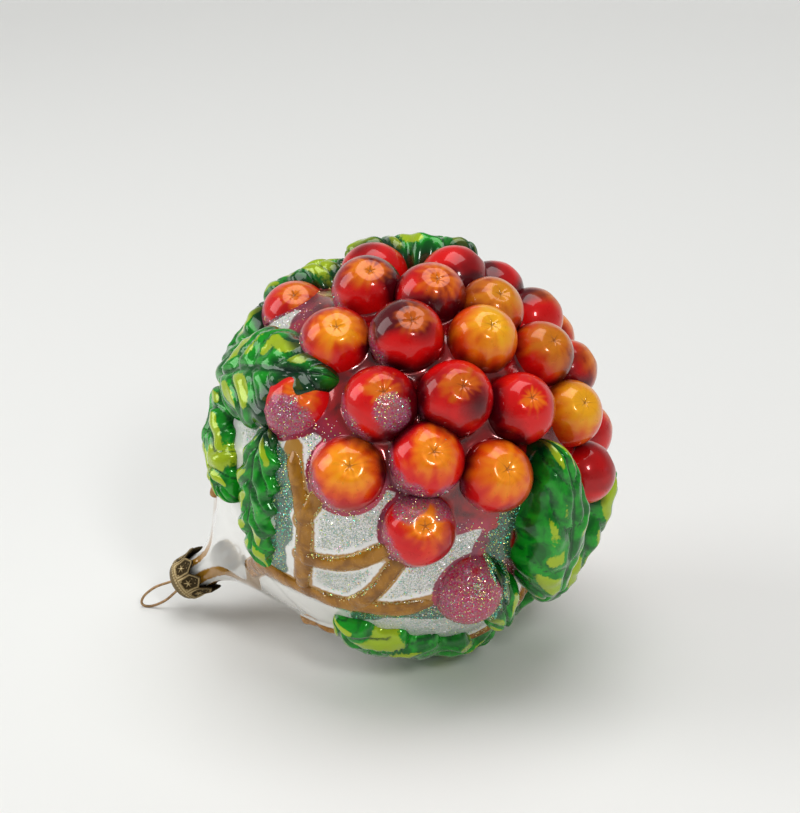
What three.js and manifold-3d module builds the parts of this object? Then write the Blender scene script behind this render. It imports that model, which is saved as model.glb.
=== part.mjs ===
// Blown-glass tree ornament in the shape of a bunch of rowan berries, lying on its side.
// Millimetres, +Z up. The ornament is built in its own frame, with the origin in the middle of the
// body and +Z along the neck, and the whole group is then laid down on its loop and two leaf bumps.
// A place on the body is given by two angles in degrees: "down" is counted from the neck, and
// "turn" goes round the neck axis from the middle of the front.
import * as THREE from 'three';
import { mergeVertices } from 'three/addons/utils/BufferGeometryUtils.js';
import Module from 'manifold-3d';

const wasm = await Module();
wasm.setup();

// driving dimensions
const glassWall = 0.9;
const clusterRadius = 47;       // glass between the berries
const shoulderRadius = 51.5;    // glass between the stems
const berryRadius = 9.2;        // of the largest berries
const berryCentreRadius = 48;
const leafHollowFrom = 4;        // leaves higher than this are hollow, as blown glass is
const stemRadius = 2.4;
const neckRadius = 5;
const neckEnd = 80;
const capRadius = 6.1;
const capTop = 83.5;
const capRim = 72.5;
const capWall = 0.45;
const petalCount = 8;
const wireRadius = 0.375;
const wireGap = 0.3;
const loopHalfWidth = 2.4;
const loopTip = 96.9;            // outer end of the hanging loop
const legSpacing = 1.6;
const frontTurn = -64.9;        // longitude of the middle of the front, from the X axis
const clusterLean = -8.2;       // how far the moulded cluster leans off the neck axis, about X
const layTilt = 34.9;           // how far the neck points below the horizontal
const restCentre = [12.67, 0.45, 56.1];   // middle of the body when the ornament lies down

// berries, as down, turn and radius
const berries = [
  [137.5, 1, 9.2], [116, 8, 9.2], [127.6, 32, 9.2], [151, 35, 8.7], [156, -20, 8.8],
  [122, -16, 9.1], [136, -38, 8.9], [91, 18, 9], [99, -8, 9.2], [108, -34, 9], [103.6, -64, 9],
  [105.5, 35, 8.9], [112, 60.5, 8.9], [82, 66, 8.9], [133, 58, 8.8], [151, 71, 8.3],
  [105, 82.5, 8.8], [132, 88, 8.6], [137, 110, 8.2], [148, 128, 8.1], [172, 72, 8.4],
  [164, 170, 7.8], [167.5, -100, 8.3], [146, -113, 8.1], [133, -161, 8.2], [116, 111, 8.6],
  [95, 107, 9], [118, 135, 8.8], [97, 130, 9], [138, 150, 8.2], [99, 154, 9], [120, 159, 8.8],
  [101, 178, 9], [122, -179, 8.8], [104, -157, 9],
];

// leaves, from base to tip, with width and height above the glass
const leaves = [
  { base: [65, 38], tip: [106, 22], width: 27, height: 6.5 },
  { base: [82, 15], tip: [54, -24], width: 14, height: 3.6 },
  { base: [61, 44], tip: [55, 1], width: 15, height: 5.6 },
  { base: [52, 54], tip: [80, 66], width: 16, height: 5.8 },
  { base: [70, 76], tip: [103, 82], width: 13, height: 8 },
  { base: [93, 88], tip: [134, 101], width: 15, height: 12 },
  { base: [109, -96], tip: [153, -43], width: 21, height: 10.2 },
  { base: [98, -109], tip: [143, -133], width: 18, height: 9 },
  { base: [63, -49], tip: [86, -103], width: 20, height: 5 },
  { base: [96, -87], tip: [116, -61], width: 12, height: 7.5 },
  { base: [60, -171], tip: [72, -110], width: 20, height: 4.6 },
  { base: [63, 130], tip: [106, 147], width: 27, height: 6 },
  { base: [54, 96], tip: [80, 104], width: 16, height: 4.2 },
  { base: [60, 122], tip: [54, 160], width: 14, height: 3.4 },
  { base: [82, 150], tip: [57, -174], width: 14, height: 3.6 },
  { base: [84, -134], tip: [118, -140], width: 13, height: 7 },
  { base: [76, -112], tip: [104, -122], width: 13, height: 5 },
];

// two round bumps under the lying ornament, as degrees from the neck axis and off the lowest line
const restBump = { down: 66, off: 12, radius: 12, centreRadius: 45.69 };

// stems on the front, as places from the neck to the berries; the back has their mirror image
const seamTurn = -100;
const frontStems = [
  [[36, -30], [49, -21], [62, -35], [73, -42], [95, -57]],
  [[63, -34], [73, -24], [82, -13], [88, 5]],
  [[82, -13], [92, -9]],
  [[73, -24], [97, -32]],
  [[40, -62], [55, -60], [72, -78], [92, -95], [112, -107]],
];

const radians = Math.PI / 180;

// unit vector to a place on the leaning cluster
function direction([down, turn]) {
  const across = Math.sin(down * radians);
  const around = (turn + frontTurn) * radians;
  return new THREE.Vector3(across * Math.cos(around), across * Math.sin(around), Math.cos(down * radians))
    .applyAxisAngle(new THREE.Vector3(1, 0, 0), clusterLean * radians);
}

function downOf(way) {
  return Math.acos(way.z) / radians;
}

// radius of the bare glass: the shoulder's near the neck, easing to the cluster's further down
function glassRadius(down) {
  return shoulderRadius + (clusterRadius - shoulderRadius) * THREE.MathUtils.smoothstep(down, 78, 112);
}

function toSolid(geometry) {
  const bare = geometry.clone();
  bare.deleteAttribute('normal');
  bare.deleteAttribute('uv');
  const merged = mergeVertices(bare, 1e-4);
  const vertProperties = new Float32Array(merged.attributes.position.array);
  const triVerts = new Uint32Array(merged.index.array);
  return new wasm.Manifold(new wasm.Mesh({ numProp: 3, vertProperties, triVerts }));
}

// joins the solids and keeps only the outer skin, so that no pocket is left closed between them
function joinFilled(solids) {
  const skins = wasm.Manifold.union(solids).decompose();
  return skins.reduce((largest, skin) => (skin.volume() > largest.volume() ? skin : largest));
}

function toGeometry(solid) {
  const mesh = solid.getMesh();
  const geometry = new THREE.BufferGeometry();
  geometry.setAttribute('position', new THREE.BufferAttribute(mesh.vertProperties, 3));
  geometry.setIndex(new THREE.BufferAttribute(mesh.triVerts, 1));
  geometry.computeVertexNormals();
  return geometry;
}

function spin(profile, segments) {
  const points = profile.map(([r, z]) => new THREE.Vector2(r, z));
  return new THREE.LatheGeometry(points, segments).rotateX(Math.PI / 2);
}

// outline of the body from its bottom to the neck's lip, moved inwards by inset
function bodyProfile(inset, lip) {
  const profile = [[0, inset - clusterRadius]];
  const shoulderDown = 40;
  for (let down = 168; down > shoulderDown; down -= 12) {
    const r = glassRadius(down) - inset;
    profile.push([r * Math.sin(down * radians), r * Math.cos(down * radians)]);
  }
  const start = shoulderRadius + 1 - inset;
  const shoulder = new THREE.CubicBezierCurve(
    new THREE.Vector2(start * Math.sin(shoulderDown * radians), start * Math.cos(shoulderDown * radians)),
    new THREE.Vector2(22 - inset, 53.5 - inset),
    new THREE.Vector2(neckRadius + 1.5 - inset, 62),
    new THREE.Vector2(neckRadius - inset, 72),
  );
  shoulder.getPoints(6).forEach((p) => profile.push([p.x, p.y]));
  profile.push([neckRadius - inset, lip], [0, lip]);
  return profile;
}

function body(inset, lip, segments) {
  return toSolid(spin(bodyProfile(inset, lip), segments));
}

// an even ball of triangles in place of one berry; smaller berries sit a little deeper
function berry([down, turn, radius], inset, detail) {
  const middle = direction([down, turn])
    .multiplyScalar(berryCentreRadius - 0.9 * (berryRadius - radius));
  const ball = new THREE.IcosahedronGeometry(radius - inset, detail);
  return toSolid(ball.translate(middle.x, middle.y, middle.z));
}

// a bump that the ornament rests on, on one side of the lowest line
function bump(side) {
  const middle = new THREE.Vector3(-Math.sin(restBump.down * radians), 0, Math.cos(restBump.down * radians))
    .applyAxisAngle(new THREE.Vector3(0, 0, 1), side * restBump.off * radians)
    .multiplyScalar(restBump.centreRadius);
  return toSolid(new THREE.IcosahedronGeometry(restBump.radius, 2).translate(middle.x, middle.y, middle.z));
}

// a flattened ball bent on to the body: its long axis follows the arc from base to tip
function leaf({ base, tip, width, height }, segments, rings) {
  const from = direction(base);
  const to = direction(tip);
  const middle = from.clone().add(to).normalize();
  const along = to.clone().sub(from).normalize();
  const across = new THREE.Vector3().crossVectors(along, middle);
  const reach = from.angleTo(to) / 2;
  const geometry = new THREE.SphereGeometry(1, segments, rings);
  const points = geometry.attributes.position;
  for (let i = 0; i < points.count; i += 1) {
    const place = middle.clone()
      .addScaledVector(along, Math.tan(points.getY(i) * reach))
      .addScaledVector(across, points.getX(i) * Math.tan(width / 2 / shoulderRadius))
      .normalize();
    place.multiplyScalar(glassRadius(downOf(place)) + points.getZ(i) * height);
    points.setXYZ(i, place.x, place.y, place.z);
  }
  return toSolid(geometry);
}

function tube(points, radius, steps, sides) {
  const path = new THREE.CatmullRomCurve3(points, false, 'centripetal');
  const section = new THREE.Shape().absarc(0, 0, radius, 0, 2 * Math.PI, false);
  return new THREE.ExtrudeGeometry(section, {
    extrudePath: path, steps, curveSegments: sides / 2, bevelEnabled: false,
  });
}

function stem(places) {
  const points = places.map(direction).map((way) => way.multiplyScalar(glassRadius(downOf(way))));
  return toSolid(tube(points, stemRadius, places.length + 2, 6));
}

function mirrorTurn(places) {
  return places.map(([down, turn]) => [down, 2 * seamTurn - turn]);
}

function glassBody() {
  const outside = [body(0, neckEnd, 28)];
  berries.forEach((place) => outside.push(berry(place, 0, 1)));
  leaves.forEach((shape) => outside.push(leaf(shape, 8, 6)));
  frontStems.forEach((places) => outside.push(stem(places), stem(mirrorTurn(places))));
  outside.push(bump(-1), bump(1));
  const inside = [body(glassWall, neckEnd + 1, 16)];
  berries.forEach((place) => inside.push(berry(place, 1.3, 0)));
  leaves.filter(({ height }) => height > leafHollowFrom).forEach(({ base, tip, width, height }) => {
    inside.push(leaf({ base, tip, width: width - 4, height: height - 1.5 }, 5, 4));
  });
  return toGeometry(joinFilled(outside).subtract(joinFilled(inside)));
}

function capBody() {
  const outline = [
    [0, capTop], [3.2, capTop - 0.3], [5.2, capTop - 1.4], [capRadius, capTop - 3.2],
    [capRadius, capRim + 4.5], [capRadius + 0.2, capRim + 2.5], [capRadius + 0.7, capRim],
  ];
  const inner = outline.map(([r, z]) => [Math.max(r - capWall, 0), z > capRim + 5 ? z - capWall : z]);
  const profile = [...outline, ...inner.reverse()];
  let solid = toSolid(spin(profile.reverse(), 32));
  for (let i = 0; i < petalCount; i += 1) {
    const turn = (i + 0.5) * 2 * Math.PI / petalCount;
    const notch = new THREE.Shape([
      new THREE.Vector2(-2.6, capRim - 0.5), new THREE.Vector2(2.6, capRim - 0.5),
      new THREE.Vector2(0, capRim + 2.2),
    ]);
    const cutter = new THREE.ExtrudeGeometry(notch, { depth: 10, bevelEnabled: false });
    solid = solid.subtract(toSolid(cutter.rotateX(Math.PI / 2).rotateZ(turn)));
  }
  for (const side of [-1, 1]) {
    const drill = new THREE.CylinderGeometry(wireRadius + wireGap, wireRadius + wireGap, 4, 12);
    solid = solid.subtract(toSolid(drill.rotateX(Math.PI / 2).translate(side * legSpacing, 0, capTop - 1)));
  }
  return toGeometry(solid);
}

function hangerWire() {
  const half = [
    [3.2, capTop - 17.5], [2.6, capTop - 12], [1.9, capTop - 6], [legSpacing, capTop - 1],
    [legSpacing, capTop + 1.2], [loopHalfWidth, loopTip - 7.5], [loopHalfWidth - 0.3, loopTip - 3.5],
    [loopHalfWidth - 1.2, loopTip - 1.2],
  ];
  const left = half.map(([x, z]) => new THREE.Vector3(-x, 0, z));
  const right = half.map(([x, z]) => new THREE.Vector3(x, 0, z)).reverse();
  const tip = new THREE.Vector3(0, 0, loopTip - wireRadius);
  return tube([...left, tip, ...right], wireRadius, 48, 8);
}

function piece(name, geometry, colour, roughness, metalness) {
  const material = new THREE.MeshStandardMaterial({ color: colour, roughness, metalness });
  const mesh = new THREE.Mesh(geometry, material);
  mesh.name = name;
  return mesh;
}

const ornament = new THREE.Group();
ornament.add(
  piece('glass_body', glassBody(), 0xb81a14, 0.12, 0.3),
  piece('cap', capBody(), 0x8a6a35, 0.4, 1),
  piece('hanger_wire', hangerWire(), 0xa5794a, 0.35, 1),
);
ornament.rotation.y = -(90 + layTilt) * radians;
ornament.position.set(...restCentre);

export default ornament;
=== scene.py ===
import bpy
import numpy as np
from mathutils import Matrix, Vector


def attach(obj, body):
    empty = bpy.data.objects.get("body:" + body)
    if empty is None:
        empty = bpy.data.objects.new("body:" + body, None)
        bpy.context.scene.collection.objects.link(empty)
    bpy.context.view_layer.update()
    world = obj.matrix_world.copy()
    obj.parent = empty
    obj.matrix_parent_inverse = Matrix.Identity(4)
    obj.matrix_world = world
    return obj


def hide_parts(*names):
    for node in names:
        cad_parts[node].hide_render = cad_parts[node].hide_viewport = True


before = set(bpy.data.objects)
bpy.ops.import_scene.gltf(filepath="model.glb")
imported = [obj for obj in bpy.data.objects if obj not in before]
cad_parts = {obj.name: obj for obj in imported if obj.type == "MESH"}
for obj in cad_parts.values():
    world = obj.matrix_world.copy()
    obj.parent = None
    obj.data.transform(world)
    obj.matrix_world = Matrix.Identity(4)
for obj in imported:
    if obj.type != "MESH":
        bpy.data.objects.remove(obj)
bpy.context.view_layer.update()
print("stage: frame loaded")

# The ornament is worked out in its own frame, in millimetres, with the origin in the middle of the body
# and the third axis along the neck. A place on it is "down", degrees from the neck, and "turn", degrees
# round the neck from the middle of the front; both are counted on the moulded cluster, which leans a little
# off the neck. The values below lay it down as the part lies.
lay = {
    "tilt": 34.9, "centre": (12.67, 0.45, 56.1), "frontTurn": -64.9, "seamTurn": -100,
    "clusterLean": -8.2, "leanFrom": 8, "leanTo": 30,
}

body = {
    "clusterRadius": 45.4, "shoulderRadius": 51.5, "easeFrom": 78, "easeTo": 112,
    "shoulderDown": 40, "neckRadius": 5.0, "neckStart": 72.0, "neckEnd": 80.0, "wall": 0.9,
}


def smoothStep(x, low, high):
    t = np.clip((x - low) / (high - low), 0, 1)
    return t * t * (3 - 2 * t)


# unit vectors from the angle off the neck axis and the angle round it, both in degrees
def fromNeck(down, around):
    down, around = np.radians(np.asarray(down, float)), np.radians(np.asarray(around, float))
    across = np.sin(down)
    return np.stack([across * np.cos(around), across * np.sin(around), np.cos(down) + 0 * around], -1)


# unit vectors from down and turn: the cluster's own angles, leant about the first axis. The lean fades out
# towards the neck, so that paths can run up to the cap
def direction(down, turn):
    lean = np.radians(lay["clusterLean"]) * smoothStep(down, lay["leanFrom"], lay["leanTo"])
    x, y, z = np.moveaxis(fromNeck(down, np.asarray(turn, float) + lay["frontTurn"]), -1, 0)
    return np.stack([x, y * np.cos(lean) - z * np.sin(lean), y * np.sin(lean) + z * np.cos(lean)], -1)


# down and the angle round from the seam, 0 to 180 on both sides, of unit vectors
def fromSeam(ways):
    lean = np.radians(lay["clusterLean"])
    y = ways[..., 1] * np.cos(lean) + ways[..., 2] * np.sin(lean)
    z = ways[..., 2] * np.cos(lean) - ways[..., 1] * np.sin(lean)
    turn = np.degrees(np.arctan2(y, ways[..., 0])) - lay["frontTurn"] - lay["seamTurn"]
    return np.degrees(np.arccos(np.clip(z, -1, 1))), np.abs((turn + 180) % 360 - 180)


def unit(vectors):
    return vectors / np.linalg.norm(vectors, axis=-1, keepdims=True)


# own frame in millimetres to the shared frame in metres: the neck axis tilts down towards -X
def lieDown(points):
    tilt = np.radians(lay["tilt"])
    axes = np.array([[-np.sin(tilt), 0, np.cos(tilt)], [0, 1, 0], [-np.cos(tilt), 0, -np.sin(tilt)]])
    return (points @ axes + np.array(lay["centre"])) / 1000


# radius of the bare glass in each direction: constant on the cluster and on the shoulder with a smooth
# step between, 1 mm more at the shoulder's upper edge, then a cubic curve to the straight neck
def shoulderCurve(count):
    start = body["shoulderRadius"] + 1
    angle = np.radians(body["shoulderDown"])
    corners = np.array([[start * np.sin(angle), start * np.cos(angle)], [22, 53.5],
                        [body["neckRadius"] + 1.5, 62], [body["neckRadius"], body["neckStart"]]])
    t = np.linspace(0, 1, count)[:, None]
    weights = [(1 - t) ** 3, 3 * t * (1 - t) ** 2, 3 * t * t * (1 - t), t ** 3]
    curve = sum(w * c for w, c in zip(weights, corners))
    return np.vstack([curve, [[body["neckRadius"], body["neckEnd"]]]])


neckTable = shoulderCurve(60)[::-1]
neckDowns = np.degrees(np.arctan2(neckTable[:, 0], neckTable[:, 1]))
neckRadii = np.hypot(neckTable[:, 0], neckTable[:, 1])


def glassRadius(down):
    cluster = body["clusterRadius"] - body["shoulderRadius"]
    ball = body["shoulderRadius"] + cluster * smoothStep(down, body["easeFrom"], body["easeTo"])
    ball = ball + (1 - smoothStep(down, body["shoulderDown"], body["shoulderDown"] + 14))
    return np.where(down < body["shoulderDown"], np.interp(down, neckDowns, neckRadii), ball)


def downOf(points):
    return np.degrees(np.arccos(np.clip(unit(points)[..., 2], -1, 1)))


# smooth uneven values from -1 to 1: a sum of sine waves along fixed directions
def uneven(points, wavelength, seed, waves=7):
    rng = np.random.default_rng(seed)
    total = np.zeros(points.shape[:-1])
    for way in unit(rng.normal(size=(waves, 3))):
        phase = points @ way * (2 * np.pi / wavelength) * rng.uniform(0.7, 1.4)
        total += np.sin(phase + rng.uniform(0, 6.3))
    return total / np.sqrt(waves)


# closed skins: each part is a stack of rings whose first and last close on a pole, and its values are
# arrays of the same rows and columns; normals that point in are turned round
def skinFaces(rows, columns):
    index = np.arange(rows * columns).reshape(rows, columns)
    following = np.roll(index, -1, axis=1)
    quads = np.stack([index[:-1], following[:-1], following[1:], index[1:]], -1).reshape(-1, 4)
    first = np.stack([np.full(columns, rows * columns), following[0], index[0]], -1)
    last = np.stack([np.full(columns, rows * columns + 1), index[-1], following[-1]], -1)
    return quads, np.vstack([first, last])


def withPoles(values):
    flat = values.reshape((-1,) + values.shape[2:])
    return np.concatenate([flat, values[:1].mean(1), values[-1:].mean(1)])


def enclosed(points, quads, tris):
    a, b, c, d = (points[quads[:, k]] for k in range(4))
    volume = np.einsum("ij,ij->", a, np.cross(b, c)) + np.einsum("ij,ij->", a, np.cross(c, d))
    a, b, c = (points[tris[:, k]] for k in range(3))
    return volume + np.einsum("ij,ij->", a, np.cross(b, c))


def makePiece(name, parts, material, node):
    points, quads, tris, values = [], [], [], {}
    offset = 0
    for rings, attributes in parts:
        partPoints = withPoles(rings)
        partQuads, partTris = skinFaces(*rings.shape[:2])
        if enclosed(partPoints, partQuads, partTris) < 0:
            partQuads, partTris = partQuads[:, ::-1], partTris[:, ::-1]
        points.append(partPoints)
        quads.append(partQuads + offset)
        tris.append(partTris + offset)
        for key, value in attributes.items():
            value = np.broadcast_to(value, rings.shape[:2])
            values.setdefault(key, []).append(withPoles(value))
        offset += len(partPoints)
    mesh = bpy.data.meshes.new(name)
    faces = np.vstack(quads).tolist() + np.vstack(tris).tolist()
    mesh.from_pydata(lieDown(np.vstack(points)), [], faces)
    for key, value in values.items():
        attribute = mesh.attributes.new(key, "FLOAT", "POINT")
        attribute.data.foreach_set("value", np.concatenate(value).astype(np.float32))
    finishPiece(name, mesh, material, node)


def finishPiece(name, mesh, material, node):
    mesh.shade_smooth()
    mesh.materials.append(material)
    piece = bpy.data.objects.new(name, mesh)
    bpy.context.scene.collection.objects.link(piece)
    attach(piece, "root")
    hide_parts(node)
    triangles = sum(len(p.vertices) - 2 for p in mesh.polygons)
    print("piece:", name, triangles, "triangles")


# a round path through a few places on the body: Catmull-Rom pieces through the unit vectors
def smoothPath(points, count):
    points = np.asarray(points, float)
    padded = np.vstack([2 * points[0] - points[1], points, 2 * points[-1] - points[-2]])
    t = np.linspace(0, len(points) - 1 - 1e-9, count)
    k = t.astype(int)
    f = (t - k)[:, None]
    p0, p1, p2, p3 = (padded[k + i] for i in range(4))
    return 0.5 * (2 * p1 + (p2 - p0) * f + (2 * p0 - 5 * p1 + 4 * p2 - p3) * f ** 2
                  + (3 * p1 - p0 - 3 * p2 + p3) * f ** 3)


# an oval section carried along a path: half its width across the path and half its height out from it
def carriedSection(path, across, out, wide, high, around):
    return (path[:, None, :] + across[:, None, :] * (wide[:, None] * np.cos(around))[..., None]
            + out[:, None, :] * (high[:, None] * np.sin(around))[..., None])


# berries: down, turn, radius, how yellow the patch round the calyx is, how wide it is, how brown it is
frontBerries = [
    (137.5, 1, 9.2, 0.1, 0.45, 0.8), (116, 8, 9.2, 0.15, 0.4, 0.6), (127.6, 32, 9.2, 0.1, 0.5, 1.0),
    (151, 35, 8.7, 1.0, 1.25, 0.2), (156, -20, 8.8, 0.1, 0.35, 0.2), (122, -16, 9.1, 0.35, 0.75, 0.1),
    (136, -38, 8.9, 0.45, 0.95, 0.1), (91, 18, 9, 0.1, 0.5, 0.4), (99, -8, 9.2, 0.6, 0.95, 0.0),
    (108, -34, 9, 0.35, 0.7, 0.1), (103.6, -64, 9, 0.0, 0.1, 0.2), (105.5, 35, 8.9, 0.6, 0.8, 0.1),
    (112, 60.5, 8.9, 0.3, 0.55, 0.5), (82, 66, 8.9, 0.3, 0.6, 0.6), (133, 58, 8.8, 0.25, 0.6, 0.4),
    (151, 71, 8.3, 0.75, 1.1, 0.7), (105, 82.5, 8.8, 0.1, 0.4, 0.9), (132, 88, 8.6, 0.0, 0.3, 0.3),
    (137, 110, 8.2, 0.1, 0.4, 0.3), (148, 128, 8.1, 0.6, 1.0, 0.7), (172, 72, 8.4, 0.5, 0.95, 0.9),
    (164, 170, 7.8, 0.6, 1.0, 0.6), (167.5, -100, 8.3, 0.95, 1.3, 0.3), (146, -113, 8.1, 0.0, 0.35, 0.1),
    (133, -161, 8.2, 0.5, 0.8, 0.4),
]
backBerries = [
    (116, 111, 8.6, 0.3, 0.5, 0.3), (95, 107, 9, 0.1, 0.4, 0.5), (118, 135, 8.8, 0.5, 0.8, 0.2),
    (97, 130, 9, 0.3, 0.5, 0.3), (138, 150, 8.2, 0.5, 0.7, 0.3), (99, 154, 9, 0.7, 0.9, 0.1),
    (120, 159, 8.8, 0.2, 0.5, 0.6), (101, 178, 9, 0.4, 0.6, 0.2), (122, -179, 8.8, 0.6, 0.8, 0.2),
    (104, -157, 9, 0.2, 0.5, 0.3),
]
berryTable = np.array(frontBerries + backBerries)
berryShape = {
    "largest": 9.2, "swell": 1.05, "centreRadius": 48.0, "dimple": 0.9, "dimpleWidth": 0.24, "star": 0.15,
    "towardsEnd": 1.2, "towardsFace": 1.6, "smallerSink": 0.9, "rows": 40, "columns": 56,
}
berryWays = direction(berryTable[:, 0], berryTable[:, 1])
berrySink = berryShape["smallerSink"] * (berryShape["largest"] - berryTable[:, 2])
berryReach = berryShape["centreRadius"] - berrySink
berryRadii = berryTable[:, 2] * berryShape["swell"]
berryCentres = berryWays * berryReach[:, None]


# distance in millimetres from each point to every berry's surface, nearest first
def berryGaps(points):
    away = np.sqrt(((points[..., None, :] - berryCentres) ** 2).sum(-1))
    return np.sort(away - berryRadii, -1)


# stems: places from the neck to the berries, and their half width; the back mirrors the front
frontStems = [
    ([(3.4, -32), (9, -34), (20, -42), (30, -36), (42, -24), (52, -24), (62, -33), (73, -42),
      (97, -58)], 2.8),
    ([(63, -34), (73, -24), (82, -13), (88, 5)], 2.6),
    ([(80, -14), (92, -9)], 2.4),
    ([(72, -23), (85, -30), (100, -33)], 2.3),
    ([(76, -44), (86, -42), (100, -37)], 2.4),
    ([(3.4, 26), (9, 26), (20, 22), (34, 14), (48, 20), (60, 28)], 1.5),
    ([(3.4, -86), (9, -86), (20, -84), (30, -70), (42, -62), (56, -64), (72, -78), (92, -95),
      (112, -107)], 1.7),
]


def withMirrored(front, count):
    paths = []
    for places, halfWidth in front:
        downs, turns = np.array(places, float).T
        for way in (turns, 2 * lay["seamTurn"] - turns):
            paths.append((unit(smoothPath(direction(downs, way), count)), halfWidth))
    return paths


stemPaths = withMirrored(frontStems, 180)

# bands of teal glitter beside the leaves
frontBands = [
    ([(79, 11), (82, 3), (79, -4), (74, -10), (68, -16), (60, -22)], 3.2),
    ([(73, -50), (84, -53), (92, -60), (97, -70), (95, -82)], 2.6),
    ([(146, -51), (139, -57), (130, -60), (120, -64), (110, -71)], 3.4),
]
bandPaths = withMirrored(frontBands, 60)


# distance in millimetres over the body from each direction to the nearest path, less its half width,
# which narrows up the neck
def pathDistance(ways, paths):
    nearest = np.full(ways.shape[:-1], 99.0)
    reach = glassRadius(downOf(ways))
    for path, halfWidth in paths:
        cosine = (ways @ path.T).max(-1)
        narrow = halfWidth * (0.5 + 0.5 * smoothStep(downOf(ways), 5, 34))
        nearest = np.minimum(nearest, np.arccos(np.clip(cosine, -1, 1)) * reach - narrow)
    return nearest


# sockets are linked and plain values set
def feed(tree, made, inputs):
    for key, value in dict(inputs).items():
        if isinstance(value, bpy.types.NodeSocket):
            tree.links.new(value, made.inputs[key])
        else:
            made.inputs[key].default_value = value
    return made


def addNode(tree, kind, inputs=(), **settings):
    made = tree.nodes.new(kind)
    for key, value in settings.items():
        setattr(made, key, value)
    return feed(tree, made, inputs)


def readValue(tree, name):
    return addNode(tree, "ShaderNodeAttribute", attribute_name=name).outputs["Fac"]


def mathNode(tree, operation, a, b=0.0, clamp=False):
    return addNode(tree, "ShaderNodeMath", {0: a, 1: b}, operation=operation, use_clamp=clamp).outputs[0]


def vectorNode(tree, operation, inputs):
    return addNode(tree, "ShaderNodeVectorMath", inputs, operation=operation).outputs[0]


def times(tree, a, b):
    return mathNode(tree, "MULTIPLY", a, b)


def plus(tree, a, b):
    return mathNode(tree, "ADD", a, b)


def blendColours(tree, factor, a, b):
    made = addNode(tree, "ShaderNodeMix", {0: factor, 6: a, 7: b}, data_type="RGBA")
    return made.outputs[2]


def rampMask(tree, value, low, high, kind="SMOOTHSTEP"):
    made = addNode(tree, "ShaderNodeMapRange", {"Value": value, "From Min": low, "From Max": high},
                   interpolation_type=kind)
    return made.outputs["Result"]


def newGroup(name, inputs, outputs):
    group = bpy.data.node_groups.new(name, "ShaderNodeTree")
    for socketName, kind, value in inputs:
        socket = group.interface.new_socket(socketName, in_out="INPUT", socket_type=kind)
        if value is not None:
            socket.default_value = value
    for socketName, kind in outputs:
        group.interface.new_socket(socketName, in_out="OUTPUT", socket_type=kind)
    return group, group.nodes.new("NodeGroupInput").outputs, group.nodes.new("NodeGroupOutput").inputs


# brushed lacquer: two noises of different scale give a soft mask of thick and thin paint
def makeBrushed():
    group, given, result = newGroup(
        "brushedLacquer",
        [("Scale", "NodeSocketFloat", 220.0), ("Low", "NodeSocketFloat", 0.4),
         ("High", "NodeSocketFloat", 0.6)],
        [("Mask", "NodeSocketFloat"), ("Fine", "NodeSocketFloat")])
    place = addNode(group, "ShaderNodeTexCoord").outputs["Object"]
    broad = addNode(group, "ShaderNodeTexNoise", {
        "Vector": place, "Scale": given["Scale"], "Detail": 3.0, "Distortion": 0.6})
    fine = addNode(group, "ShaderNodeTexNoise", {
        "Vector": place, "Scale": times(group, given["Scale"], 5.0), "Detail": 2.0})
    mask = rampMask(group, broad.outputs["Fac"], given["Low"], given["High"])
    group.links.new(mask, result["Mask"])
    group.links.new(fine.outputs["Fac"], result["Fine"])
    return group


# glitter dust: small cells, each with its own tilt and brightness, of which the brightest few sparkle
def makeGlitter():
    group, given, result = newGroup(
        "glitterDust",
        [("Scale", "NodeSocketFloat", 2600.0), ("Tint", "NodeSocketColor", (1, 1, 1, 1)),
         ("Amount", "NodeSocketFloat", 1.0)],
        [("Color", "NodeSocketColor"), ("Mask", "NodeSocketFloat"), ("Normal", "NodeSocketVector")])
    place = addNode(group, "ShaderNodeTexCoord").outputs["Object"]
    cells = addNode(group, "ShaderNodeTexVoronoi", {
        "Vector": place, "Scale": given["Scale"]}).outputs["Color"]
    parts = addNode(group, "ShaderNodeSeparateColor", {0: cells})
    bright = rampMask(group, parts.outputs[0], 0.35, 0.95)
    shown = times(group, rampMask(group, parts.outputs[1], 0.25, 0.5), given["Amount"])
    hued = blendColours(group, 0.3, given["Tint"], cells)
    dull = blendColours(group, 0.3, hued, (0.08, 0.08, 0.08, 1))
    colour = blendColours(group, bright, dull, hued)
    middle = vectorNode(group, "SUBTRACT", {0: cells, 1: (0.5, 0.5, 0.5)})
    tilt = vectorNode(group, "SCALE", {0: middle, "Scale": shown})
    facing = addNode(group, "ShaderNodeNewGeometry").outputs["Normal"]
    normal = vectorNode(group, "NORMALIZE", {0: vectorNode(group, "ADD", {0: facing, 1: tilt})})
    group.links.new(colour, result["Color"])
    group.links.new(shown, result["Mask"])
    group.links.new(normal, result["Normal"])
    return group


brushedLacquer = makeBrushed()
glitterDust = makeGlitter()


def useGroup(tree, group, **inputs):
    made = tree.nodes.new("ShaderNodeGroup")
    made.node_tree = group
    return feed(tree, made, inputs).outputs


def startMaterial(name, settings):
    material = bpy.data.materials.new(name)
    material.use_nodes = True
    tree = material.node_tree
    return material, tree, feed(tree, tree.nodes["Principled BSDF"], settings)


berryPaint = {
    "wine": (0.09, 0.0005, 0.004, 1), "red": (0.72, 0.004, 0.004, 1), "orange": (0.95, 0.16, 0.003, 1),
    "yellow": (1.0, 0.47, 0.01, 1), "brown": (0.26, 0.04, 0.004, 1), "calyx": (0.1, 0.02, 0.004, 1),
    "mauve": (0.42, 0.04, 0.14, 1),
}


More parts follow.
